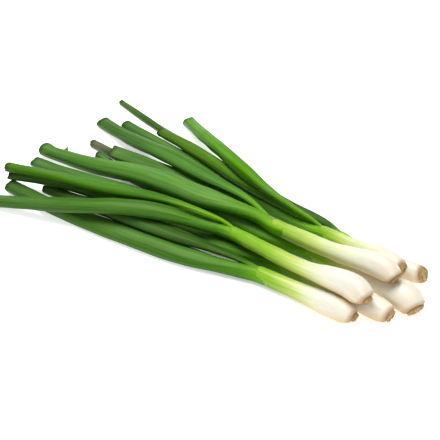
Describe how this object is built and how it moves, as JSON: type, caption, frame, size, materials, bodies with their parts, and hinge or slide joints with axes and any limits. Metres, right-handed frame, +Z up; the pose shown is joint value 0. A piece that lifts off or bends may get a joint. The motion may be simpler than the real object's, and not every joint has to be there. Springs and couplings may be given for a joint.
{
  "type": "spring onion bunch",
  "caption": "Loose bunch of spring onions lying down, with slim white bulbs, trimmed root plates, pale shanks and long hollow green leaves with cut ends.",
  "frame": {"origin": "on the surface that the bunch lies on, below the middle of its outline seen from above", "axes": "+X toward the roots, +Z up, leaf tips toward -X"},
  "size_m": [0.363, 0.1982, 0.0362],
  "materials": {
    "sheath": "smooth, moist, slightly translucent, white turning pale green toward the leaves",
    "leaf": "waxy green leaf with a pale bloom and fine lengthwise veins",
    "root": "dry, rough, fibrous brown"
  },
  "bodies": {
    "root": {"onion_1_stem": "sheath", "onion_1_root_plate": "root", "onion_2_stem": "sheath", "onion_2_root_plate": "root", "onion_3_stem": "sheath", "onion_3_root_plate": "root", "onion_4_stem": "sheath", "onion_4_root_plate": "root", "onion_5_stem": "sheath", "onion_5_root_plate": "root", "onion_6_stem": "sheath", "onion_6_root_plate": "root", "onion_7_stem": "sheath", "onion_7_root_plate": "root", "onion_1_leaf_1": "leaf", "onion_1_leaf_2": "leaf", "onion_2_leaf_1": "leaf", "onion_2_leaf_2": "leaf", "onion_3_leaf_1": "leaf", "onion_3_leaf_2": "leaf", "onion_4_leaf_1": "leaf", "onion_4_leaf_2": "leaf", "onion_4_leaf_3": "leaf", "onion_5_leaf_1": "leaf", "onion_5_leaf_2": "leaf", "onion_5_leaf_3": "leaf", "onion_6_leaf_1": "leaf", "onion_7_leaf_1": "leaf", "onion_7_leaf_2": "leaf"}
  },
  "joints": []
}
